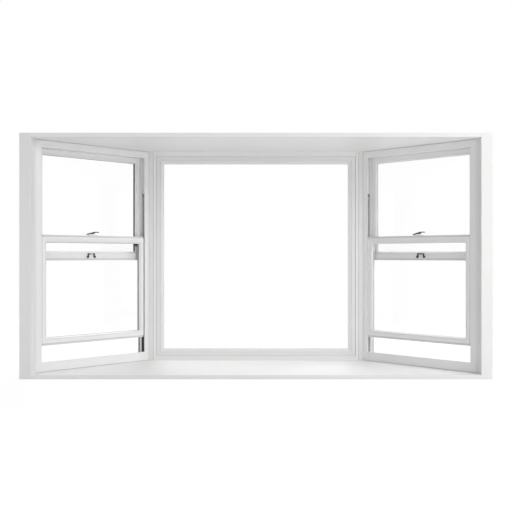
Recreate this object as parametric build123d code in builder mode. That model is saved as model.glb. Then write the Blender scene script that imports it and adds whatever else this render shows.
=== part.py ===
"""Bay window: a fixed middle window between two double-hung windows set at an angle.

The three windows stand between a head board and a seat board. A side post closes each end
at the wall, a filler strip packs each side window out to its post, and a corner post fills
the wedge between each side window and the middle one.

Millimetres. +X runs along the wall, +Y out through the wall, +Z up. The origin is the
middle of the footprint, on the underside of the seat board.
"""

import os
from collections import namedtuple
from math import cos, radians, sin, tan

from build123d import *

# ---------------------------------------------------------------- driving dimensions

# The whole unit
overall_width = 2438.4
overall_height = 1270.0
board_thickness = 22.0
flank_angle = 45.0
reveal_depth = 60.0
unit_depth = 83.0
centre_width = 1210.0
corner_face = 24.4
filler_width = 14.4
edge_round = 1.5

# Shadow line where a frame meets the boards and the corner posts
joint_gap = 2.5
centre_joint_gap = 1.5
joint_depth = 6.0

# Double-hung frames: a room-side lip, then two tracks with a parting leg between them
lip_face = 31.0
lip_thickness = 7.0
track_depth = 13.0
leg_setback = 3.0
leg_thickness = 10.4
outer_stop = 5.0
outer_stop_thickness = 3.0
head_face = 38.0
sill_face = 52.0
sill_dam = 13.0
sill_fall = 9.0

# Sashes
sash_thickness = 30.0
slide_gap = 0.3
side_gap = 2.0
ear_step = 3.3
reveal_gap = 7.0
head_gap = 1.5
stile_face = 17.5
glazing_stop = 6.0
bead_setback = 0.8
bead_flat = 4.5
bead_drop = 8.0
bead_bevel = 5.5
bead_joint = 1.5
bead_joint_depth = 2.5

# Rails, from the sash's outer edge to the glazing rebate
upper_top_rail = 35.7
upper_bottom_rail = 39.0
lower_top_rail = 32.0
lower_bottom_rail = 30.5
lower_sash_height = 587.0
upper_sash_height = 611.8
lower_raise = 98.0

# Fine grooves along the faces of the rails that meet when the window is closed: how far up
# from the upper sash's bottom edge, and how far down from the lower sash's top edge
upper_groove_rise = 21.0
lower_groove_drop = 24.0
groove_height = 1.5
groove_depth = 2.5

# Weatherstrips on the sash edges
strip_height = 11.0
strip_groove = 6.0
strip_thickness = 4.5

# Fixed middle window
centre_lip_face = 24.0
centre_side_lip_face = 17.0
centre_track_depth = 10.0
centre_reveal_gap = 3.0
centre_stile_face = 21.0
centre_bottom_face = 19.0
centre_top_face = 23.5
centre_bead_bevel = 17.5

# Insulating glass
pane_thickness = 3.0
cavity = 11.0
bead_to_glass = 0.5
glass_edge_gap = 2.5
spacer_width = 8.0

# Channels in the inner tracks, with a floor and an arm along the parting leg: the sash
# balances above the lower sash, with a clip over each, and the track liners below it
liner_thickness = 3.0
liner_width = 22.0
liner_arm = 2.0
balance_length = 226.0
clip_gap = 3.0
clip_height = 22.0
clip_width = 18.0
clip_thickness = 8.0

# Sash lock, on the lower sash's top rail, a little towards the wall from its middle
lock_offset = 8.2
lock_base_length = 62.0
lock_base_width = 20.0
lock_base_height = 4.0
lock_hub_radius = 7.0
lock_hub_height = 6.0
lock_arm_thickness = 5.0
lock_arm_width = 9.0
lock_arm_reach = 37.0
lock_arm_rise = 7.0
lock_arm_round = 1.2
lock_tail_reach = 40.0

# Keeper, on the upper sash's bottom rail, a little towards the wall from its middle
keeper_offset = 4.8
keeper_width = 57.0
keeper_height = 26.0
keeper_stroke = 6.2
keeper_round = 4.0
keeper_foot_radius = 6.5
keeper_depth = 6.0
keeper_lift = 2.0

# ---------------------------------------------------------------- derived places

angle = radians(flank_angle)
half_width = overall_width / 2
post_width = unit_depth * sin(angle)
inner_x = half_width - post_width
corner_x = centre_width / 2 + corner_face
flank_length = (inner_x - corner_x) / cos(angle)
flank_reach = flank_length * sin(angle)
total_depth = reveal_depth + flank_reach + unit_depth
front_y = -total_depth / 2
back_y = total_depth / 2
near_y = front_y + reveal_depth
corner_y = near_y + flank_reach
outer_corner_x = corner_x + unit_depth * tan(angle / 2)
seat_top = board_thickness
head_under = overall_height - board_thickness
frame_height = head_under - seat_top

# Depths inside a double-hung frame
tongue = sash_thickness - ear_step
track_width = tongue + 2 * slide_gap
leg_start = lip_thickness + track_width + liner_arm
leg_end = leg_start + leg_thickness
outer_track_end = leg_end + track_width
lower_depth = lip_thickness + slide_gap - ear_step
upper_depth = leg_end + slide_gap - ear_step

# Depths inside a sash
pane_front = bead_setback + bead_drop + bead_to_glass
glass_thickness = 2 * pane_thickness + cavity

# A window frame: where its room face starts, the way it runs, and how long it is
Unit = namedtuple("Unit", "x y angle width")
flank = Unit(
    -inner_x + filler_width * cos(angle),
    near_y + filler_width * sin(angle),
    angle,
    flank_length - filler_width,
)
centre = Unit(-centre_width / 2, corner_y, 0.0, centre_width)

# A sash: its room face's depth, its outer edges, the ears that step back into the frame on
# each edge, its members' widths out to the glazing rebate, and its bead's bevel
Sash = namedtuple(
    "Sash",
    "depth left right bottom top ear bottom_ear top_ear stile bottom_rail top_rail bevel",
)

track_floor = lip_face - track_depth
leg_face = lip_face - leg_setback
sill_floor = sill_face - sill_dam
flank_ear = reveal_gap + track_depth - side_gap
lower_bottom = seat_top + sill_floor + side_gap + lower_raise
upper_top = head_under - head_face + track_depth - slide_gap

lower_sash = Sash(
    depth=lower_depth,
    left=track_floor + side_gap,
    right=flank.width - track_floor - side_gap,
    bottom=lower_bottom,
    top=lower_bottom + lower_sash_height,
    ear=flank_ear,
    bottom_ear=0.0,
    top_ear=0.0,
    stile=flank_ear + stile_face,
    bottom_rail=lower_bottom_rail,
    top_rail=lower_top_rail,
    bevel=bead_bevel,
)
upper_sash = Sash(
    depth=upper_depth,
    left=track_floor + side_gap,
    right=flank.width - track_floor - side_gap,
    bottom=upper_top - upper_sash_height,
    top=upper_top,
    ear=flank_ear,
    bottom_ear=0.0,
    top_ear=track_depth - slide_gap + head_gap,
    stile=flank_ear + stile_face,
    bottom_rail=upper_bottom_rail,
    top_rail=upper_top_rail,
    bevel=bead_bevel,
)
centre_floor = centre_lip_face - centre_track_depth
centre_side_floor = centre_side_lip_face - centre_track_depth
centre_ear = centre_reveal_gap + centre_track_depth - side_gap
centre_sash = Sash(
    depth=lower_depth,
    left=centre_side_floor + side_gap,
    right=centre.width - centre_side_floor - side_gap,
    bottom=seat_top + centre_floor + side_gap,
    top=head_under - centre_floor - side_gap,
    ear=centre_ear,
    bottom_ear=centre_ear,
    top_ear=centre_ear,
    stile=centre_ear + centre_stile_face,
    bottom_rail=centre_ear + centre_bottom_face,
    top_rail=centre_ear + centre_top_face,
    bevel=centre_bead_bevel,
)

# Where each sash's weatherstrips and fine grooves start
lower_strips = (lower_sash.bottom, lower_sash.top - strip_height)
upper_strips = (upper_sash.bottom,)
lower_groove = lower_sash.top - lower_groove_drop
upper_groove = upper_sash.bottom + upper_groove_rise

# Where the sash locks and their keepers stand, along a double-hung window
lock_place = flank.width / 2 - lock_offset
keeper_place = flank.width / 2 - keeper_offset

# ---------------------------------------------------------------- planes and small helpers


def plan(unit, height):
    """Looking down on a unit: x along its room face, y out through its depth."""
    along = (cos(unit.angle), sin(unit.angle), 0)
    return Plane(origin=(unit.x, unit.y, height), x_dir=along, z_dir=(0, 0, 1))


def cross(unit, distance):
    """Across a unit, that far along it: x is depth and y is height."""
    along = (cos(unit.angle), sin(unit.angle), 0)
    outward = (-sin(unit.angle), cos(unit.angle), 0)
    origin = (unit.x + distance * along[0], unit.y + distance * along[1], 0)
    return Plane(origin=origin, x_dir=outward, z_dir=along)


def elevation(unit, depth):
    """Facing a unit from the room, that deep into it: x along it and y up."""
    along = (cos(unit.angle), sin(unit.angle), 0)
    outward = (-sin(unit.angle), cos(unit.angle), 0)
    origin = (unit.x + depth * outward[0], unit.y + depth * outward[1], 0)
    return Plane(origin=origin, x_dir=along, z_dir=(-outward[0], -outward[1], 0))


def outline(*points, mode=Mode.ADD):
    """A closed outline through these points, as a face in the sketch that is open."""
    Polygon(*points, align=None, mode=mode)


def corners(left, right, bottom, top):
    """The four corners of a rectangle."""
    return (left, bottom), (right, bottom), (right, top), (left, top)


def opening(sash, inset=0.0):
    """Corners of a sash's glazing rebate, drawn in by an inset."""
    return corners(
        sash.left + sash.stile + inset,
        sash.right - sash.stile - inset,
        sash.bottom + sash.bottom_rail + inset,
        sash.top - sash.top_rail - inset,
    )


# ---------------------------------------------------------------- boards and posts


def board(height):
    """Head or seat board: the whole plan of the bay, less the two side posts."""
    half = [
        (inner_x, front_y),
        (inner_x, near_y),
        (half_width, near_y + unit_depth * cos(angle)),
        (outer_corner_x, back_y),
    ]
    other_half = [(-x, y) for x, y in reversed(half)]
    with BuildPart() as slab:
        with BuildSketch(Plane.XY.offset(height)):
            outline(*half, *other_half)
        extrude(amount=board_thickness)
        nosing = slab.edges().filter_by(Axis.X).group_by(Axis.Y)[0]
        fillet(nosing, edge_round)
    return slab.part


def side_post():
    """Left post at the wall: its back edge is cut to meet the side window's frame."""
    with BuildPart() as post:
        with BuildSketch(Plane.XY):
            outline(
                (-half_width, front_y),
                (-inner_x, front_y),
                (-inner_x, near_y),
                (-half_width, near_y + unit_depth * cos(angle)),
            )
        extrude(amount=overall_height)
        fillet(post.edges().filter_by(Axis.Z).group_by(Axis.Y)[0], edge_round)
    return post.part


def filler_strip():
    """Packing strip between the left post and the left window's frame."""
    strip = Unit(-inner_x, near_y, angle, filler_width)
    with BuildPart() as filler:
        with BuildSketch(plan(strip, seat_top)):
            outline(*corners(0, filler_width, 0, unit_depth))
        extrude(amount=frame_height)
    return filler.part


def corner_post():
    """Wedge between the left window and the middle one, with a face to the room."""
    frame_side = centre_width / 2
    with BuildPart() as post:
        with BuildSketch(Plane.XY.offset(seat_top)):
            outline(
                (-frame_side, corner_y),
                (-corner_x, corner_y),
                (-corner_x - unit_depth * sin(angle), corner_y + unit_depth * cos(angle)),
                (-outer_corner_x, back_y),
                (-frame_side, back_y),
            )
        extrude(amount=frame_height)
    return post.part


# ---------------------------------------------------------------- window frames


def joint_line(unit, left=0.0, right=0.0, level=0.0):
    """The shadow line round a frame's room face, to be cut from its members."""
    with BuildPart() as line:
        with BuildSketch(elevation(unit, joint_depth)):
            outline(*corners(0, unit.width, seat_top, head_under))
            outline(
                *corners(left, unit.width - right, seat_top + level, head_under - level),
                mode=Mode.SUBTRACT,
            )
        extrude(amount=joint_depth)
    return line.part


def frame_bar(unit, section, line):
    """A head or sill, the whole width of its frame: section gives (depth, height)."""
    with BuildPart() as bar:
        with BuildSketch(cross(unit, 0)):
            outline(*section)
        extrude(amount=unit.width)
        add(line, mode=Mode.SUBTRACT)
    return bar.part


def frame_sides(unit, section, head, sill, line):
    """Both jambs, coped over the head and the sill: section gives (width, depth)."""
    with BuildPart() as sides:
        with BuildSketch(plan(unit, seat_top)):
            outline(*section)
            outline(*[(unit.width - width, depth) for width, depth in section])
        extrude(amount=frame_height)
        add(head, mode=Mode.SUBTRACT)
        add(sill, mode=Mode.SUBTRACT)
        add(line, mode=Mode.SUBTRACT)
    return sides.part


def flank_head(line):
    """Head of a double-hung frame: a pocket for the upper sash, and a seat for a screen."""
    face = head_under - head_face
    pocket = face + track_depth
    stop_end = outer_track_end + outer_stop_thickness
    section = [
        (0, head_under),
        (0, face),
        (leg_end, face),
        (leg_end, pocket),
        (outer_track_end, pocket),
        (outer_track_end, pocket - outer_stop),
        (stop_end, pocket - outer_stop),
        (stop_end, pocket),
        (unit_depth, pocket),
        (unit_depth, head_under),
    ]
    return frame_bar(flank, section, line)


def flank_sill(line):
    """Sill of a double-hung frame: a dam at the room side, then a fall to the weather."""
    floor = seat_top + sill_floor
    section = [
        (0, seat_top),
        (0, floor + sill_dam),
        (lip_thickness, floor + sill_dam),
        (lip_thickness, floor),
        (leg_end, floor),
        (unit_depth, floor - sill_fall),
        (unit_depth, seat_top),
    ]
    return frame_bar(flank, section, line)


def flank_jambs(head, sill, line):
    """Jambs of a double-hung frame: a track for each sash, the inner one let in for its
    channels, and a seat for a screen behind the outer stop."""
    stop_face = track_floor + outer_stop
    stop_end = outer_track_end + outer_stop_thickness
    section = [
        (0, 0),
        (lip_face, 0),
        (lip_face, lip_thickness),
        (track_floor, lip_thickness),
        (track_floor, leg_start - liner_width),
        (track_floor - liner_thickness, leg_start - liner_width),
        (track_floor - liner_thickness, leg_start),
        (leg_face, leg_start),
        (leg_face, leg_end),
        (track_floor, leg_end),
        (track_floor, outer_track_end),
        (stop_face, outer_track_end),
        (stop_face, stop_end),
        (track_floor, stop_end),
        (track_floor, unit_depth),
        (0, unit_depth),
    ]
    return frame_sides(flank, section, head, sill, line)


def centre_section(lip_face):
    """A member of the middle frame with that much face, as (width, depth)."""
    floor = lip_face - centre_track_depth
    return [
        (0, 0),
        (lip_face, 0),
        (lip_face, lip_thickness),
        (floor, lip_thickness),
        (floor, leg_start),
        (lip_face, leg_start),
        (lip_face, unit_depth),
        (0, unit_depth),
    ]


def centre_rails(line):
    """Head and sill of the middle frame."""
    section = centre_section(centre_lip_face)
    head = [(depth, head_under - width) for width, depth in section]
    sill = [(depth, seat_top + width) for width, depth in section]
    return frame_bar(centre, head, line), frame_bar(centre, sill, line)


# ---------------------------------------------------------------- sashes


def level_grooves(unit, sash, starts, height, depth):
    """The space of grooves along a sash's face, to be cut from its members."""
    with BuildPart() as grooves:
        for start in starts:
            with BuildSketch(cross(unit, sash.left)):
                outline(*corners(sash.depth, sash.depth + depth, start, start + height))
            extrude(amount=sash.right - sash.left)
    return grooves.part


def ear_space(unit, sash):
    """The step round a sash's room face, to be cut so that its ears pass behind the lip."""
    with BuildPart() as space:
        with BuildSketch(elevation(unit, sash.depth + ear_step)):
            outline(*corners(sash.left, sash.right, sash.bottom, sash.top))
            face = corners(
                sash.left + sash.ear,
                sash.right - sash.ear,
                sash.bottom + sash.bottom_ear,
                sash.top - sash.top_ear,
            )
            outline(*face, mode=Mode.SUBTRACT)
        extrude(amount=ear_step)
    return space.part


def sash_stiles(unit, sash, strips=()):
    """Both stiles: a face, a rebate with a stop behind the glass, and ears in the frame."""
    stop = pane_front + glass_thickness
    section = [
        (0, 0),
        (sash.stile, 0),
        (sash.stile, stop),
        (sash.stile + glazing_stop, stop),
        (sash.stile + glazing_stop, sash_thickness),
        (0, sash_thickness),
    ]
    with BuildPart() as stiles:
        with BuildSketch(plan(unit, sash.bottom)):
            outline(*[(sash.left + width, sash.depth + depth) for width, depth in section])
            outline(*[(sash.right - width, sash.depth + depth) for width, depth in section])
        extrude(amount=sash.top - sash.bottom)
        add(ear_space(unit, sash), mode=Mode.SUBTRACT)
        if strips:
            seats = level_grooves(unit, sash, strips, strip_height, strip_groove)
            add(seats, mode=Mode.SUBTRACT)
    return stiles.part


def sash_rails(unit, sash, stiles, strips=(), grooves=()):
    """Both rails, coped between the stiles."""
    stop = pane_front + glass_thickness
    with BuildPart() as rails:
        for edge, width, inward in (
            (sash.bottom, sash.bottom_rail, 1),
            (sash.top, sash.top_rail, -1),
        ):
            with BuildSketch(cross(unit, sash.left + sash.stile)):
                outline(
                    (sash.depth, edge),
                    (sash.depth, edge + inward * width),
                    (sash.depth + stop, edge + inward * width),
                    (sash.depth + stop, edge + inward * (width + glazing_stop)),
                    (sash.depth + sash_thickness, edge + inward * (width + glazing_stop)),
                    (sash.depth + sash_thickness, edge),
                )
            extrude(amount=sash.right - sash.left - 2 * sash.stile)
        add(ear_space(unit, sash), mode=Mode.SUBTRACT)
        if strips:
            seats = level_grooves(unit, sash, strips, strip_height, strip_groove)
            add(seats, mode=Mode.SUBTRACT)
        if grooves:
            fine = level_grooves(unit, sash, grooves, groove_height, groove_depth)
            add(fine, mode=Mode.SUBTRACT)
        add(stiles, mode=Mode.SUBTRACT)
    return rails.part


def glazing_bead(unit, sash):
    """Bevelled bead that holds the glass in, with a shadow line round its outer edge."""
    front = sash.depth + bead_setback
    back = sash.depth + bead_setback + bead_drop
    with BuildPart() as bead:
        with BuildSketch(elevation(unit, sash.depth + pane_front)):
            outline(*opening(sash))
            outline(*opening(sash, bead_flat + sash.bevel), mode=Mode.SUBTRACT)
        extrude(amount=bead_drop + bead_to_glass)
        with BuildSketch(elevation(unit, front + bead_joint_depth)):
            outline(*opening(sash))
            outline(*opening(sash, bead_joint), mode=Mode.SUBTRACT)
        extrude(amount=bead_joint_depth, mode=Mode.SUBTRACT)
        with BuildSketch(elevation(unit, back)):
            outline(*opening(sash, bead_flat + sash.bevel))
        with BuildSketch(elevation(unit, front)):
            outline(*opening(sash, bead_flat))
        loft(mode=Mode.SUBTRACT)
    return bead.part


def glass_panes(unit, sash):
    """The two panes of a sealed unit."""
    with BuildPart() as panes:
        for depth in (pane_front, pane_front + pane_thickness + cavity):
            with BuildSketch(elevation(unit, sash.depth + depth + pane_thickness)):
                outline(*opening(sash, glass_edge_gap))
            extrude(amount=pane_thickness)
    return panes.part


def glass_spacer(unit, sash):
    """The bar that holds the panes apart, all round their edge."""
    back = pane_front + pane_thickness + cavity
    with BuildPart() as spacer:
        with BuildSketch(elevation(unit, sash.depth + back)):
            outline(*opening(sash, glass_edge_gap))
            outline(*opening(sash, glass_edge_gap + spacer_width), mode=Mode.SUBTRACT)
        extrude(amount=cavity)
    return spacer.part


def weatherstrips():
    """Compression strips in the grooves of both sashes."""
    with BuildPart() as strips:
        for sash, heights in ((lower_sash, lower_strips), (upper_sash, upper_strips)):
            back = sash.depth + strip_groove
            for height in heights:
                with BuildSketch(cross(flank, sash.left + sash.ear)):
                    outline(*corners(back - strip_thickness, back, height, height + strip_height))
                extrude(amount=sash.right - sash.left - 2 * sash.ear)
    return strips.part


def track_liners():
    """Channels let into the inner tracks: liners below the lower sash, and above it the
    balances, each with a clip over it."""
    seat = track_floor - liner_thickness
    channel = [
        (seat, leg_start - liner_width),
        (track_floor, leg_start - liner_width),
        (track_floor, leg_start - liner_arm),
        (leg_face, leg_start - liner_arm),
        (leg_face, leg_start),
        (seat, leg_start),
    ]
    clip = corners(seat, seat + clip_thickness, leg_start - clip_width, leg_start)
    balance_top = lower_sash.top + balance_length
    spans = (
        (channel, seat_top + sill_floor + slide_gap, lower_sash.bottom - slide_gap),
        (channel, lower_sash.top + slide_gap, balance_top),
        (clip, balance_top + clip_gap, balance_top + clip_gap + clip_height),
    )
    with BuildPart() as liners:
        for section, low, high in spans:
            with BuildSketch(plan(flank, low)):
                outline(*section)
                outline(*[(flank.width - width, depth) for width, depth in section])
            extrude(amount=high - low)
    return liners.part


# ---------------------------------------------------------------- sash lock


def lock_plane(side):
    """On top of the lower sash's top rail: x to the right seen from the room."""
    depth = lower_sash.depth + sash_thickness / 2
    x = flank.x + lock_place * cos(angle) - depth * sin(angle)
    y = flank.y + lock_place * sin(angle) + depth * cos(angle)
    return Plane(
        origin=(-side * x, y, lower_sash.top),
        x_dir=(cos(angle), -side * sin(angle), 0),
        z_dir=(0, 0, 1),
    )


def lock_base(side):
    """Round-ended base plate with the hub that the lever turns on."""
    with BuildPart() as base:
        with BuildSketch(lock_plane(side)):
            SlotOverall(lock_base_length, lock_base_width)
        extrude(amount=lock_base_height)
        chamfer(base.edges().group_by(Axis.Z)[-1], edge_round)
        with BuildSketch(lock_plane(side).offset(lock_base_height)):
            Circle(lock_hub_radius)
        extrude(amount=lock_hub_height)
    return base.part


def lock_lever(side):
    """Lever on the hub: a cam tail that rises from the left, and a level handle."""
    tail = lock_base_height + slide_gap
    seat = lock_base_height + lock_hub_height
    handle = seat + lock_arm_rise
    across = lock_plane(side)
    face = Plane(origin=across.origin, x_dir=across.x_dir, z_dir=-across.y_dir)
    with BuildPart() as lever:
        with BuildSketch(face):
            outline(
                (-lock_tail_reach, tail),
                (-lock_tail_reach, tail + lock_arm_thickness),
                (lock_hub_radius, handle + lock_arm_thickness),
                (lock_arm_reach, handle + lock_arm_thickness),
                (lock_arm_reach, handle),
                (lock_hub_radius + lock_arm_rise, handle),
                (lock_hub_radius, seat),
                (-lock_hub_radius, seat),
                (-lock_tail_reach + lock_arm_thickness, tail),
            )
        extrude(amount=lock_arm_width / 2, both=True)
        fillet(lever.edges().filter_by(Axis(across.origin, across.y_dir)), lock_arm_round)
    return lever.part


def keeper():
    """Arched keeper with a round foot at each end, on the upper sash's bottom rail."""
    low = upper_sash.bottom + strip_height + keeper_lift
    left_foot = keeper_place - keeper_width / 2 + keeper_foot_radius
    right_foot = keeper_place + keeper_width / 2 - keeper_foot_radius
    feet = low + keeper_foot_radius
    top = low + keeper_height
    with BuildPart() as arch:
        with BuildSketch(elevation(flank, upper_sash.depth)) as profile:
            outline(*corners(left_foot, right_foot, feet, top))
            fillet(profile.vertices().group_by(Axis.Y)[-1], keeper_round)
            inside = corners(
                left_foot + keeper_stroke, right_foot - keeper_stroke, feet, top - keeper_stroke
            )
            outline(*inside, mode=Mode.SUBTRACT)
            with Locations((left_foot, feet), (right_foot, feet)):
                Circle(keeper_foot_radius)
        extrude(amount=keeper_depth)
    return arch.part


# ---------------------------------------------------------------- build and write


def write(name, part):
    """Labels a finished piece and writes it as its own file."""
    part.label = name
    export_step(part, f"parts/{name}.step")


def write_pair(name, part):
    """Writes a left piece and its mirror image on the right."""
    write(f"left_{name}", part)
    with BuildPart() as right:
        mirror(part, about=Plane.YZ)
    write(f"right_{name}", right.part)


def together(*parts):
    """Like pieces that don't touch, as one node."""
    with BuildPart() as group:
        for part in parts:
            add(part)
    return group.part


os.makedirs("parts", exist_ok=True)

write("seat_board", board(0))
write("head_board", board(head_under))
write_pair("side_post", side_post())
write_pair("filler_strip", filler_strip())
write_pair("corner_post", corner_post())

line = joint_line(flank, right=joint_gap, level=joint_gap)
head = flank_head(line)
sill = flank_sill(line)
write_pair("frame_head", head)
write_pair("frame_sill", sill)
write_pair("frame_jambs", flank_jambs(head, sill, line))

for level, sash, strips, groove in (
    ("upper", upper_sash, upper_strips, upper_groove),
    ("lower", lower_sash, lower_strips, lower_groove),
):
    stiles = sash_stiles(flank, sash, strips)
    write_pair(f"{level}_stiles", stiles)
    write_pair(f"{level}_rails", sash_rails(flank, sash, stiles, strips, (groove,)))
flank_sashes = (upper_sash, lower_sash)
write_pair("glazing_beads", together(*[glazing_bead(flank, sash) for sash in flank_sashes]))
write_pair("glass", together(*[glass_panes(flank, sash) for sash in flank_sashes]))
write_pair("glass_spacers", together(*[glass_spacer(flank, sash) for sash in flank_sashes]))
write_pair("weatherstrips", weatherstrips())
write_pair("track_liners", track_liners())
write_pair("keeper", keeper())

for name, side in (("left", -1), ("right", 1)):
    write(f"{name}_lock_base", lock_base(side))
    write(f"{name}_lock_lever", lock_lever(side))

line = joint_line(centre, left=centre_joint_gap, right=centre_joint_gap)
head, sill = centre_rails(line)
side_section = centre_section(centre_side_lip_face)
stiles = sash_stiles(centre, centre_sash)
write("centre_frame_rails", together(head, sill))
write("centre_frame_jambs", frame_sides(centre, side_section, head, sill, line))
write("centre_sash_stiles", stiles)
write("centre_sash_rails", sash_rails(centre, centre_sash, stiles))
write("centre_glazing_bead", glazing_bead(centre, centre_sash))
write("centre_glass", glass_panes(centre, centre_sash))
write("centre_glass_spacer", glass_spacer(centre, centre_sash))
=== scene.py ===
"""Looks of the bay window: finishes, studio light and camera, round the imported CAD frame.

Metres. +X runs along the wall, +Y out through the wall, +Z up; the unit stands on the floor.
"""

import math

import bmesh
import bpy
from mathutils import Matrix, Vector

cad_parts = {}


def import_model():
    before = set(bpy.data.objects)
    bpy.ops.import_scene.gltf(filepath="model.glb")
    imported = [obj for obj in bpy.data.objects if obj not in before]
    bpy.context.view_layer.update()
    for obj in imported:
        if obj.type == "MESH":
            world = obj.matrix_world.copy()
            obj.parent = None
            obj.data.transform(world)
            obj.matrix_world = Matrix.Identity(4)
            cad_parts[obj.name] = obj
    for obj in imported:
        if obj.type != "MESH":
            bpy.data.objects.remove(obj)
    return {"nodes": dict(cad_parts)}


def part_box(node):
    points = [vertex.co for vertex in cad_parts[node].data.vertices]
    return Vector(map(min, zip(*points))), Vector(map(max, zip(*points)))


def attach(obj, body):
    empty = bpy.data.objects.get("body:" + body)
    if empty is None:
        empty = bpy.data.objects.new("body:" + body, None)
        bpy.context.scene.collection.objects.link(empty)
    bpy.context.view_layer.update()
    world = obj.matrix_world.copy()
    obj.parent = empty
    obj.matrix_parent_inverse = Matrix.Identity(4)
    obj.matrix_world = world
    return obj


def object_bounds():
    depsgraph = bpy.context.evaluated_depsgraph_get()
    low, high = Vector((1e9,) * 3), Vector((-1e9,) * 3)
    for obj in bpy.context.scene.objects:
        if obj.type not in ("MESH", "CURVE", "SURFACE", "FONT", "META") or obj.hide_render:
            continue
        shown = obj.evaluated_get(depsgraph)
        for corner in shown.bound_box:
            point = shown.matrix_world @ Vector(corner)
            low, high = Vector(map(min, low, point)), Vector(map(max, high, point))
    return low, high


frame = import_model()
cad_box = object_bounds()
nodes = frame["nodes"]

# ---------------------------------------------------------------- driving values

# Camera: level, square to the wall, at the unit's middle height
camera_distance = 4.103
focal_length = 56.03
sensor_width = 36.0
level = math.radians(90)

# Angle between each side window and the wall
quarter = math.radians(45)

# Colours, as linear values
paint_white = (0.84, 0.84, 0.835)
# Painted shade: the posts are a darker copy of the boards' white paint
post_shaded_white = (0.815, 0.815, 0.81)
frame_white = (0.89, 0.89, 0.89)
sash_white = (0.90, 0.90, 0.90)
# Painted shade: the middle window's sash is a darker copy of the side sashes' white
centre_sash_shaded_white = (0.84, 0.84, 0.84)
strip_grey = (0.72, 0.72, 0.72)
# Track liners below the lower sashes: the left one painted near black as shade, the right one
# painted pale as light
liner_shade_dark = (0.11, 0.11, 0.112)
liner_lit_pale = (0.60, 0.60, 0.60)
# Balance: painted shade on its faces turned from the room, painted light on those turned to it
balance_shade_grey = (0.35, 0.355, 0.36)
balance_light_grey = (0.78, 0.78, 0.78)
clip_grey = (0.22, 0.22, 0.225)
# Spacers: the left outer sash's painted near black as shade, the right window's painted bright as
# light
spacer_shade_dark = (0.04, 0.04, 0.042)
spacer_grey = (0.36, 0.365, 0.37)
spacer_lit_bright = (0.80, 0.81, 0.82)
lock_grey = (0.10, 0.10, 0.105)
keeper_black = (0.03, 0.03, 0.032)
# Painted highlight on the middle of the left keeper
keeper_highlight_grey = (0.50, 0.50, 0.50)
# Black of the strips and the block that are painted shade
shade_black = (0.02, 0.02, 0.021)
glass_clear = (1.0, 1.0, 1.0)
glass_ior = 1.18

# Textures: noise lies mostly in this range, with this much detail in it
noise_range = (0.3, 0.7)
soft_detail = 2.0
sharp_detail = 3.0

# Finishes: textures in cells a metre (along X, Y and Z where there are three), shades as
# shares of the colour, roughness from the least to the greatest, and bumps as depths
board_cloud = 3.0
board_stipple = 480.0
board_shades = (0.985, 1.01)
board_roughness = (0.42, 0.52)
board_bump = 0.00006

vinyl_cloud = 5.0
vinyl_shades = (0.985, 1.0)
vinyl_roughness = (0.33, 0.43)
vinyl_bump = 0.00003
lines_upright = (500.0, 500.0, 3.0)
lines_level = (3.0, 500.0, 500.0)

strip_fibres = 900.0
strip_shades = (0.9, 1.05)
strip_roughness = 0.9
strip_bump = 0.0004

liner_streaks = (400, 400, 6)
liner_roughness = (0.45, 0.6)
liner_bump = 0.00005

# Finish of the painted-shade black: skin, shares, roughness and bump
shade_black_skin = 1200.0
shade_black_shares = (1.0, 1.6)
shade_black_roughness = (0.6, 0.75)
shade_black_bump = 0.00005

grain_cells = 1500.0
grain_shades = (0.9, 1.0)
grain_roughness = 0.06
grain_bump = 0.00003

# Metals, as (middle roughness, metallic)
lock_metal = (0.35, 0.9)
keeper_metal = (0.45, 0.2)
side_spacer_metal = (0.38, 0.6)
centre_spacer_metal = (0.35, 0.6)

# Track channels: the balance's clip is the top of its node, and its faces that turn to the room
# by more than this share of the normal are painted paler as light, the rest darker as shade
clip_height = 0.012
facing_share = 0.5

# Keeper: half the length of the painted highlight in the left one's middle
keeper_highlight_half = 0.008

# Sashes, as the CAD has them: the ear that runs in the track is set back from the face
ear_width = 0.018
ear_step = 0.0033

# Rounded edges of the small pieces
edge_segments = 2

# Black strip on the left lower sash's ear, in the far gap, as painted shade: clear of the lip
gap_shade_width = 0.0052
gap_shade_thickness = 0.001
gap_shade_edge = 0.0003

# Black block, painted shade, on the back of the left lower sash's top rail at its far end: a bar
# with two legs
rail_shade_offset = 0.013
rail_shade_width = 0.044
rail_shade_top = 0.026
rail_shade_bar_bottom = 0.0495
rail_shade_long_leg = 0.032
rail_shade_short_leg = 0.009
rail_shade_leg_width = 0.0045
rail_shade_leg_gap = 0.011
rail_shade_thickness = 0.007
rail_shade_edge = 0.0006

# Black strip along the left window's far jamb, as painted shade in the outer track's corner below
# the lower sash
track_shade_width = 0.0035
track_shade_thickness = 0.003
track_shade_edge = 0.0006
track_shade_setback = 0.0045
track_shade_clearance = 0.0015

# Screws through the keepers' feet: domed heads with a cross in them, as rings of (radius,
# rise, cross): shares of the screw's radius, of its height, and of its radius again
foot_radius = 0.0065
screw_radius = 0.0036
screw_height = 0.0014
screw_steps = 32
cross_arms = 4
screw_rings = (
    (1.0, 0.0, 0.0),
    (1.0, 0.35, 0.0),
    (0.86, 0.75, 0.0),
    (0.62, 1.0, 0.0),
    (0.34, 1.0, 0.2),
    (0.30, 0.35, 0.18),
)

# Studio: an even light, and more of it from some sides, as (side, strength)
even_light = 0.03
side_lights = (
    ((0, -1, 0), 0.3),
    ((0, 0, 1), 0.6),
)

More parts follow.
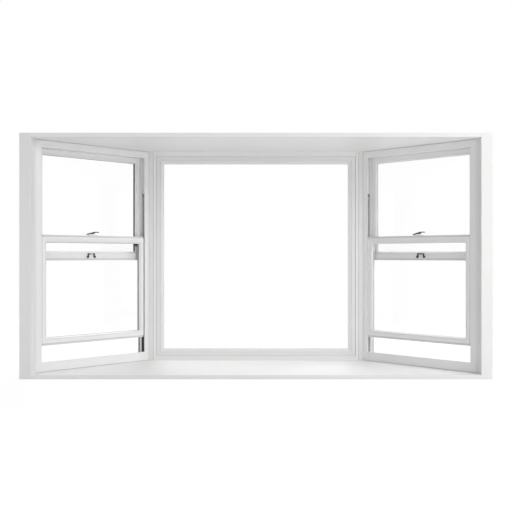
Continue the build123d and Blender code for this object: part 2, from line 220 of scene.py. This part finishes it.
# Lamps as (name, place, size, power), each aimed at the middle of the unit: a key at the
# right front, a weaker one near the right, a little light from low left, and daylight
# from outside, over the roof and through the right window
lamps = (
    ("key", (3.0, -3.5, 3.0), 2.5, 70.0),
    ("right_near", (2.5, -2.0, 0.8), 1.0, 10.0),
    ("left_low", (-2.0, -2.5, 0.2), 1.0, 8.0),
    ("daylight_right", (7.0, 3.0, 5.0), 3.5, 250.0),
    ("daylight_top", (0.0, 5.0, 7.0), 4.0, 200.0),
)

# World: the colour of its light, and of what is seen behind the unit
white = (1, 1, 1, 1)

# Floor: white to the camera, and round the unit a little darker where less light reaches it
floor_half = 20.0
floor_grey = (0.8, 0.8, 0.8)
floor_glow = 0.86
floor_shade = (0.18, 0.18, 0.18)
shade_reach = 2.0
shade_fade = 1.5

# ---------------------------------------------------------------- places from the frame

low, high = Vector(cad_box[0]), Vector(cad_box[1])
middle = (low + high) / 2
up = Vector((0, 0, 1))
along = {
    "left": Vector((math.cos(quarter), math.sin(quarter), 0)),
    "right": Vector((-math.cos(quarter), math.sin(quarter), 0)),
}
outward = {
    "left": Vector((-math.sin(quarter), math.cos(quarter), 0)),
    "right": Vector((math.sin(quarter), math.cos(quarter), 0)),
}
sash_bottom, sash_top = [corner.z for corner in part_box("left_lower_stiles")]
sash_middle = (sash_bottom + sash_top) / 2
clip_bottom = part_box("left_track_liners")[1].z - clip_height


def reach(name, direction):
    """The least and the greatest distance of a CAD node along a direction."""
    distances = [vertex.co.dot(direction) for vertex in nodes[name].data.vertices]
    return min(distances), max(distances)


lower_back = reach("left_lower_rails", outward["left"])[1]
upper_front = reach("left_upper_rails", outward["left"])[0]
between_sashes = (lower_back + upper_front) / 2


# ---------------------------------------------------------------- node helpers


def new_material(name):
    """A material with a Principled shader: returns it, its node tree and the shader."""
    material = bpy.data.materials.new(name)
    material.use_nodes = True
    tree = material.node_tree
    return material, tree, tree.nodes["Principled BSDF"]


def feed(tree, value, socket):
    """Gives a socket a plain number or colour, or links another socket to it."""
    if isinstance(value, bpy.types.NodeSocket):
        tree.links.new(value, socket)
    elif isinstance(value, tuple):
        socket.default_value = (*value, 1)
    else:
        socket.default_value = value


def object_place(tree):
    """The place of a point on the object."""
    return tree.nodes.new("ShaderNodeTexCoord").outputs["Object"]


def object_coordinates(tree, scale=(1, 1, 1), turn=0.0):
    """Object coordinates, turned about Z and then stretched."""
    turned = tree.nodes.new("ShaderNodeMapping")
    turned.inputs["Rotation"].default_value = (0, 0, turn)
    stretched = tree.nodes.new("ShaderNodeMapping")
    stretched.inputs["Scale"].default_value = scale
    tree.links.new(object_place(tree), turned.inputs["Vector"])
    tree.links.new(turned.outputs["Vector"], stretched.inputs["Vector"])
    return stretched.outputs["Vector"]


def face_normal(tree):
    """The way a face is turned."""
    return tree.nodes.new("ShaderNodeNewGeometry").outputs["Normal"]


def calculate(tree, operation, *values):
    """The result of an operation on numbers and sockets."""
    node = tree.nodes.new("ShaderNodeMath")
    node.operation = operation
    for value, socket in zip(values, node.inputs):
        feed(tree, value, socket)
    return node.outputs["Value"]


def distance_along(tree, vector, direction):
    """How far a vector goes in a direction."""
    node = tree.nodes.new("ShaderNodeVectorMath")
    node.operation = "DOT_PRODUCT"
    node.inputs[1].default_value = direction
    tree.links.new(vector, node.inputs[0])
    return node.outputs["Value"]


def beyond(tree, vector, direction, distance):
    """1 where a vector goes farther than a distance in a direction, and 0 elsewhere."""
    return calculate(tree, "GREATER_THAN", distance_along(tree, vector, direction), distance)


def noise(tree, vector, scale, detail):
    """Noise of about that many cells to each unit of the vector."""
    texture = tree.nodes.new("ShaderNodeTexNoise")
    texture.inputs["Scale"].default_value = scale
    texture.inputs["Detail"].default_value = detail
    tree.links.new(vector, texture.inputs["Vector"])
    return texture.outputs["Fac"]


def remap(tree, value, range_out, range_in=noise_range):
    """A value spread from one range to another."""
    node = tree.nodes.new("ShaderNodeMapRange")
    node.inputs["From Min"].default_value = range_in[0]
    node.inputs["From Max"].default_value = range_in[1]
    node.inputs["To Min"].default_value = range_out[0]
    node.inputs["To Max"].default_value = range_out[1]
    tree.links.new(value, node.inputs["Value"])
    return node.outputs["Result"]


def mix_colours(tree, factor, first, second):
    """A mix by a factor of two colours, each a plain one or another mix."""
    node = tree.nodes.new("ShaderNodeMix")
    node.data_type = "RGBA"
    feed(tree, factor, node.inputs["Factor"])
    feed(tree, first, node.inputs["A"])
    feed(tree, second, node.inputs["B"])
    return node.outputs["Result"]


def mix_shaders(tree, factor, first, second):
    """A mix by a factor of two shaders."""
    node = tree.nodes.new("ShaderNodeMixShader")
    for value, socket in zip((factor, first, second), node.inputs):
        tree.links.new(value, socket)
    return node.outputs["Shader"]


def mottle(tree, texture, colour, shades):
    """A colour that varies with a texture between two shades of itself."""
    darkest, lightest = [tuple(channel * share for channel in colour) for share in shades]
    return mix_colours(tree, texture, darkest, lightest)


def finish(tree, shader, colour, roughness, height, depth):
    """Gives a shader its colour, its roughness, and a bump of that depth in metres."""
    feed(tree, colour, shader.inputs["Base Color"])
    feed(tree, roughness, shader.inputs["Roughness"])
    bump = tree.nodes.new("ShaderNodeBump")
    bump.inputs["Distance"].default_value = depth
    tree.links.new(height, bump.inputs["Height"])
    tree.links.new(bump.outputs["Normal"], shader.inputs["Normal"])


# ---------------------------------------------------------------- materials


def painted_board(name, colour):
    """Satin white paint, rolled on: a fine stipple and slightly uneven sheen."""
    material, tree, shader = new_material(name)
    coordinates = object_coordinates(tree)
    cloud = noise(tree, coordinates, board_cloud, soft_detail)
    stipple = noise(tree, coordinates, board_stipple, soft_detail)
    paint = mottle(tree, cloud, colour, board_shades)
    finish(tree, shader, paint, remap(tree, stipple, board_roughness), stipple, board_bump)
    return material


def vinyl(name, colour, stretch, turn=0.0):
    """Extruded white vinyl: low sheen, with faint lines along its length."""
    material, tree, shader = new_material(name)
    lines = noise(tree, object_coordinates(tree, stretch, turn), 1.0, sharp_detail)
    cloud = noise(tree, object_coordinates(tree), vinyl_cloud, soft_detail)
    white_vinyl = mottle(tree, cloud, colour, vinyl_shades)
    finish(tree, shader, white_vinyl, remap(tree, lines, vinyl_roughness), lines, vinyl_bump)
    return material


def clear_glass():
    """Clear float glass that lets the lamps through."""
    material, tree, shader = new_material("clear_glass")
    shader.inputs["Base Color"].default_value = (*glass_clear, 1)
    shader.inputs["Transmission Weight"].default_value = 1.0
    shader.inputs["Roughness"].default_value = 0.0
    shader.inputs["IOR"].default_value = glass_ior
    rays = tree.nodes.new("ShaderNodeLightPath").outputs
    lighting = calculate(tree, "MAXIMUM", rays["Is Shadow Ray"], rays["Is Diffuse Ray"])
    through = tree.nodes.new("ShaderNodeBsdfTransparent").outputs["BSDF"]
    mix = mix_shaders(tree, lighting, shader.outputs["BSDF"], through)
    tree.links.new(mix, tree.nodes["Material Output"].inputs["Surface"])
    return material


def weatherstrip():
    """Pale grey pile strip."""
    material, tree, shader = new_material("weatherstrip")
    fibres = noise(tree, object_coordinates(tree), strip_fibres, sharp_detail)
    pile = mottle(tree, fibres, strip_grey, strip_shades)
    finish(tree, shader, pile, strip_roughness, fibres, strip_bump)
    return material


def track_liner(side, liner_colour):
    """Channels in the tracks: liner below the lower sash, its colour painted shade on the left and
    light on the right; balance and its clip above it.
    """
    material, tree, shader = new_material(f"liner_{side}")
    # Painted light on the balance's faces turned to the room, painted shade on the rest
    lit_faces = beyond(tree, face_normal(tree), -outward[side], facing_share)
    balance = mix_colours(tree, lit_faces, balance_shade_grey, balance_light_grey)
    upper_half = beyond(tree, object_place(tree), up, sash_middle)
    channel = mix_colours(tree, upper_half, liner_colour, balance)
    at_clip = beyond(tree, object_place(tree), up, clip_bottom)
    whole = mix_colours(tree, at_clip, channel, clip_grey)
    streaks = noise(tree, object_coordinates(tree, liner_streaks), 1.0, soft_detail)
    finish(tree, shader, whole, remap(tree, streaks, liner_roughness), streaks, liner_bump)
    return material


def shade_black_material():
    """Painted shade: a black with a fine matt skin, for the strips and block put where shade falls.
    """
    material, tree, shader = new_material("shade_black_material")
    skin = noise(tree, object_coordinates(tree), shade_black_skin, sharp_detail)
    black = mottle(tree, skin, shade_black, shade_black_shares)
    finish(tree, shader, black, remap(tree, skin, shade_black_roughness), skin, shade_black_bump)
    return material


def metal_grain(tree):
    """The fine grain of satin metal."""
    return noise(tree, object_coordinates(tree), grain_cells, sharp_detail)


def finish_metal(tree, shader, kind, colour, grain):
    """Makes a shader satin metal of a kind, in a colour and with a grain."""
    roughness, metallic = kind
    shader.inputs["Metallic"].default_value = metallic
    sheen = remap(tree, grain, (roughness - grain_roughness, roughness + grain_roughness))
    finish(tree, shader, colour, sheen, grain, grain_bump)


def metal(name, kind, colour):
    """Satin metal, a little darker in its grain."""
    material, tree, shader = new_material(name)
    grain = metal_grain(tree)
    finish_metal(tree, shader, kind, mottle(tree, grain, colour, grain_shades), grain)
    return material


def spacer_bar(side, colour, outer_shade_colour=None):
    """Folded metal bar round the panes in one colour, with a darker outer-sash colour as painted
    shade when one is given.
    """
    material, tree, shader = new_material(f"spacer_{side}")
    if outer_shade_colour:
        outer = beyond(tree, object_place(tree), outward[side], between_sashes)
        colour = mix_colours(tree, outer, colour, outer_shade_colour)
    finish_metal(tree, shader, side_spacer_metal, colour, metal_grain(tree))
    return material


def highlighted_keeper(side):
    """Black satin metal with a painted highlight in the keeper's middle."""
    material, tree, shader = new_material(f"keeper_{side}")
    near, far = reach(f"{side}_keeper", along[side])
    centre = (near + far) / 2
    after_start = beyond(tree, object_place(tree), along[side], centre - keeper_highlight_half)
    before_end = beyond(tree, object_place(tree), -along[side], -centre - keeper_highlight_half)
    in_highlight = calculate(tree, "MULTIPLY", after_start, before_end)
    grain = metal_grain(tree)
    black = mottle(tree, grain, keeper_black, grain_shades)
    colour = mix_colours(tree, in_highlight, black, keeper_highlight_grey)
    finish_metal(tree, shader, keeper_metal, colour, grain)
    return material


def assign(material, *names):
    """Gives CAD nodes a material."""
    for name in names:
        mesh = nodes[name].data
        mesh.materials.clear()
        mesh.materials.append(material)


board = painted_board("painted_board", paint_white)
# Posts: the board paint in a darker white, as painted shade
post = painted_board("painted_post", post_shaded_white)
frame_upright = vinyl("frame_upright", frame_white, lines_upright)
frame_level = vinyl("frame_level", frame_white, lines_level)
sash_upright = vinyl("sash_upright", sash_white, lines_upright)
# Middle window's sash in its darker white, as painted shade
centre_upright = vinyl("centre_upright", centre_sash_shaded_white, lines_upright)
centre_level = vinyl("centre_level", centre_sash_shaded_white, lines_level)
glass = clear_glass()
strip = weatherstrip()
shade_black_finish = shade_black_material()
lock = metal("lock_metal", lock_metal, lock_grey)
keepers = {
    # Left keeper with a painted highlight in its middle
    "left": highlighted_keeper("left"),
    "right": metal("keeper_right", keeper_metal, keeper_black),
}
liners = {
    # Left liner painted near black as shade, right one pale as painted light
    "left": track_liner("left", liner_shade_dark),
    "right": track_liner("right", liner_lit_pale),
}
spacers = {
    # Left outer spacer painted dark as shade, right spacers painted bright as painted light
    "left": spacer_bar("left", spacer_grey, spacer_shade_dark),
    "right": spacer_bar("right", spacer_lit_bright),
}
centre_spacer = metal("spacer_centre", centre_spacer_metal, spacer_grey)

assign(board, "seat_board", "head_board")
for side, turn in (("left", -quarter), ("right", quarter)):
    assign(post, f"{side}_side_post", f"{side}_filler_strip", f"{side}_corner_post")
    frame_slanted = vinyl(f"frame_level_{side}", frame_white, lines_level, turn)
    sash_slanted = vinyl(f"sash_level_{side}", sash_white, lines_level, turn)
    assign(frame_slanted, f"{side}_frame_head", f"{side}_frame_sill")
    assign(sash_slanted, f"{side}_upper_rails", f"{side}_lower_rails")
    assign(frame_upright, f"{side}_frame_jambs")
    assign(sash_upright, f"{side}_upper_stiles", f"{side}_lower_stiles", f"{side}_glazing_beads")
    assign(glass, f"{side}_glass")
    assign(spacers[side], f"{side}_glass_spacers")
    assign(strip, f"{side}_weatherstrips")
    assign(liners[side], f"{side}_track_liners")
    assign(board, f"{side}_lock_base")
    assign(lock, f"{side}_lock_lever")
    assign(keepers[side], f"{side}_keeper")
assign(frame_level, "centre_frame_rails")
assign(frame_upright, "centre_frame_jambs")
assign(centre_level, "centre_sash_rails")
assign(centre_upright, "centre_sash_stiles", "centre_glazing_bead")
assign(glass, "centre_glass")
assign(centre_spacer, "centre_glass_spacer")


# ---------------------------------------------------------------- small pieces


def point(side, distance, depth, height):
    """A place given along a side window, out through it, and up."""
    return along[side] * distance + outward[side] * depth + up * height


def add_piece(name, shape, material):
    """A piece of mesh that belongs to the unit, with its material."""
    bmesh.ops.recalc_face_normals(shape, faces=shape.faces)
    mesh = bpy.data.meshes.new(name)
    shape.to_mesh(mesh)
    shape.free()
    mesh.materials.append(material)
    piece = bpy.data.objects.new(name, mesh)
    bpy.context.scene.collection.objects.link(piece)
    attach(piece, "root")


def prism(outline, drawn, edge):
    """An outline drawn out into a solid, with its edges rounded."""
    shape = bmesh.new()
    first = [shape.verts.new(corner) for corner in outline]
    last = [shape.verts.new(corner + drawn) for corner in outline]
    shape.faces.new(first)
    shape.faces.new(last)
    for i in range(len(outline)):
        j = (i + 1) % len(outline)
        shape.faces.new((first[i], first[j], last[j], last[i]))
    bmesh.ops.recalc_face_normals(shape, faces=shape.faces)
    bmesh.ops.bevel(shape, geom=shape.edges[:], offset=edge, segments=edge_segments, affect="EDGES")
    return shape


def strip_between(side, starts, ends, bottom, top, edge):
    """An upright strip, from corner to corner along and out through a side window."""
    (start, front), (end, back) = starts, ends
    section = ((start, front), (start, back), (end, back), (end, front))
    outline = [point(side, distance, depth, bottom) for distance, depth in section]
    return prism(outline, up * (top - bottom), edge)


def gap_shade_strip(side):
    """A black strip on the lower sash's ear, as painted shade in the gap beside the far jamb's lip.
    """
    start = reach(f"{side}_lower_stiles", along[side])[1] - ear_width
    back = reach(f"{side}_lower_stiles", outward[side])[0] + ear_step
    near_corner = (start, back - gap_shade_thickness)
    far_corner = (start + gap_shade_width, back)
    shape = strip_between(side, near_corner, far_corner, sash_bottom, sash_top, gap_shade_edge)
    add_piece(f"{side}_gap_shade_strip", shape, shade_black_finish)


def track_shade_strip(side):
    """A black strip on the far jamb, as painted shade from the sill up to the lower sash's bottom
    edge.
    """
    far = reach(f"{side}_upper_stiles", along[side])[1]
    front = reach(f"{side}_upper_stiles", outward[side])[1] - track_shade_setback
    near_corner = (far, front)
    far_corner = (far + track_shade_thickness, front + track_shade_width)
    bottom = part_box(f"{side}_track_liners")[0].z + track_shade_clearance
    shape = strip_between(side, near_corner, far_corner, bottom, sash_bottom, track_shade_edge)
    add_piece(f"{side}_track_shade_strip", shape, shade_black_finish)


def rail_shade_block(side):
    """A black bar with a long and a short leg, as painted shade on the back of the lower sash's top
    rail.
    """
    end = reach(f"{side}_lower_rails", along[side])[1] + rail_shade_offset
    start = end - rail_shade_width
    top = sash_top - rail_shade_top
    bar = sash_top - rail_shade_bar_bottom
    long_end = start + rail_shade_leg_width
    short_start = long_end + rail_shade_leg_gap
    short_end = short_start + rail_shade_leg_width
    profile = (
        (start, top),
        (start, bar - rail_shade_long_leg),
        (long_end, bar - rail_shade_long_leg),
        (long_end, bar),
        (short_start, bar),
        (short_start, bar - rail_shade_short_leg),
        (short_end, bar - rail_shade_short_leg),
        (short_end, bar),
        (end, bar),
        (end, top),
    )
    depth = reach(f"{side}_lower_rails", outward[side])[1]
    outline = [point(side, distance, depth, height) for distance, height in profile]
    shape = prism(outline, outward[side] * rail_shade_thickness, rail_shade_edge)
    add_piece(f"{side}_rail_shade_block", shape, shade_black_finish)


def add_screw(shape, side, distance, depth, height):
    """A domed screw head with a cross recess, turned to the room."""
    loops = []
    for width, rise, cross in screw_rings:
        loop = []
        front = depth - screw_height * rise
        for step in range(screw_steps):
            turn = 2 * math.pi * step / screw_steps
            radius = screw_radius * (width + cross * math.cos(cross_arms * turn))
            across = distance + radius * math.cos(turn)
            above = height + radius * math.sin(turn)
            loop.append(shape.verts.new(point(side, across, front, above)))
        loops.append(loop)
    for outer, inner in zip(loops, loops[1:]):
        for step in range(screw_steps):
            after = (step + 1) % screw_steps
            shape.faces.new((outer[step], outer[after], inner[after], inner[step]))
    shape.faces.new(loops[0])
    shape.faces.new(loops[-1])


def keeper_screws(side):
    """The two screws through a keeper's feet."""
    near, far = reach(f"{side}_keeper", along[side])
    front = reach(f"{side}_keeper", outward[side])[0]
    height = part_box(f"{side}_keeper")[0].z + foot_radius
    shape = bmesh.new()
    for distance in (near + foot_radius, far - foot_radius):
        add_screw(shape, side, distance, front, height)
    add_piece(f"{side}_keeper_screws", shape, keepers["right"])


# Painted shade in the left window's far gap
gap_shade_strip("left")
# Painted shade in the left outer track below the lower sash
track_shade_strip("left")
# Painted shade under the left window's meeting rail
rail_shade_block("left")
keeper_screws("left")
keeper_screws("right")


# ---------------------------------------------------------------- studio


def near_unit(tree):
    """1 on the floor round the unit, fading to 0 farther out."""
    distance = tree.nodes.new("ShaderNodeVectorMath")
    distance.operation = "LENGTH"
    tree.links.new(object_place(tree), distance.inputs[0])
    fading = (shade_reach, shade_reach + shade_fade)
    return remap(tree, distance.outputs["Value"], (1.0, 0.0), fading)


def seen_directly(tree):
    """1 for a ray from the camera, straight, by a mirror or through glass."""
    rays = tree.nodes.new("ShaderNodeLightPath").outputs
    first = calculate(tree, "MAXIMUM", rays["Is Camera Ray"], rays["Is Glossy Ray"])
    return calculate(tree, "MAXIMUM", first, rays["Is Transmission Ray"])


def matt(tree, colour):
    """A matt shader in a colour."""
    node = tree.nodes.new("ShaderNodeBsdfDiffuse")
    node.inputs["Color"].default_value = (*colour, 1)
    return node.outputs["BSDF"]


def glow(tree, strength):
    """A white glow."""
    node = tree.nodes.new("ShaderNodeEmission")
    node.inputs["Strength"].default_value = strength
    return node.outputs["Emission"]


def floor():
    """A large pale floor, white to the camera, that keeps a soft shadow."""
    mesh = bpy.data.meshes.new("studio_floor")
    signs = ((-1, -1), (1, -1), (1, 1), (-1, 1))
    corners = [(x * floor_half, y * floor_half, 0.0) for x, y in signs]
    mesh.from_pydata(corners, [], [(0, 1, 2, 3)])
    plane = bpy.data.objects.new("studio_floor", mesh)
    bpy.context.scene.collection.objects.link(plane)

    material, tree, shader = new_material("studio_floor")
    tree.nodes.remove(shader)
    shadowed = tree.nodes.new("ShaderNodeAddShader")
    tree.links.new(matt(tree, floor_shade), shadowed.inputs[0])
    tree.links.new(glow(tree, floor_glow), shadowed.inputs[1])
    seen = mix_shaders(tree, near_unit(tree), glow(tree, 1.0), shadowed.outputs["Shader"])
    mix = mix_shaders(tree, seen_directly(tree), matt(tree, floor_grey), seen)
    tree.links.new(mix, tree.nodes["Material Output"].inputs["Surface"])
    mesh.materials.append(material)
    return plane


def light_by_side(tree):
    """The strength of the studio's light in each direction."""
    direction = tree.nodes.new("ShaderNodeTexCoord").outputs["Generated"]
    total = even_light
    for side, strength in side_lights:
        turned = distance_along(tree, direction, Vector(side).normalized())
        lit = calculate(tree, "MAXIMUM", turned, 0.0)
        total = calculate(tree, "MULTIPLY_ADD", lit, strength, total)
    return total


def world():
    """White where it is seen, and a soft light on the object."""
    background = bpy.data.worlds.new("studio")
    background.use_nodes = True
    tree = background.node_tree
    seen = tree.nodes["Background"]
    light = tree.nodes.new("ShaderNodeBackground")
    for node in (seen, light):
        node.inputs["Color"].default_value = white
    tree.links.new(light_by_side(tree), light.inputs["Strength"])
    shaders = [node.outputs["Background"] for node in (light, seen)]
    mix = mix_shaders(tree, seen_directly(tree), *shaders)
    tree.links.new(mix, tree.nodes["World Output"].inputs["Surface"])
    bpy.context.scene.world = background


def lamp(name, location, size, power):
    """A soft square lamp aimed at the middle of the unit."""
    data = bpy.data.lights.new(name, "AREA")
    data.size = size
    data.energy = power
    piece = bpy.data.objects.new(name, data)
    piece.location = location
    piece.rotation_euler = (middle - Vector(location)).to_track_quat("-Z", "Y").to_euler()
    bpy.context.scene.collection.objects.link(piece)


def camera():
    """The view square-on from the room."""
    data = bpy.data.cameras.new("camera")
    data.sensor_width = sensor_width
    data.lens = focal_length
    piece = bpy.data.objects.new("camera", data)
    piece.location = (middle.x, low.y - camera_distance, middle.z)
    piece.rotation_euler = (level, 0, 0)
    bpy.context.scene.collection.objects.link(piece)
    bpy.context.scene.camera = piece


floor()
world()
for lamp_values in lamps:
    lamp(*lamp_values)
camera()
bpy.context.scene.view_settings.view_transform = "Standard"
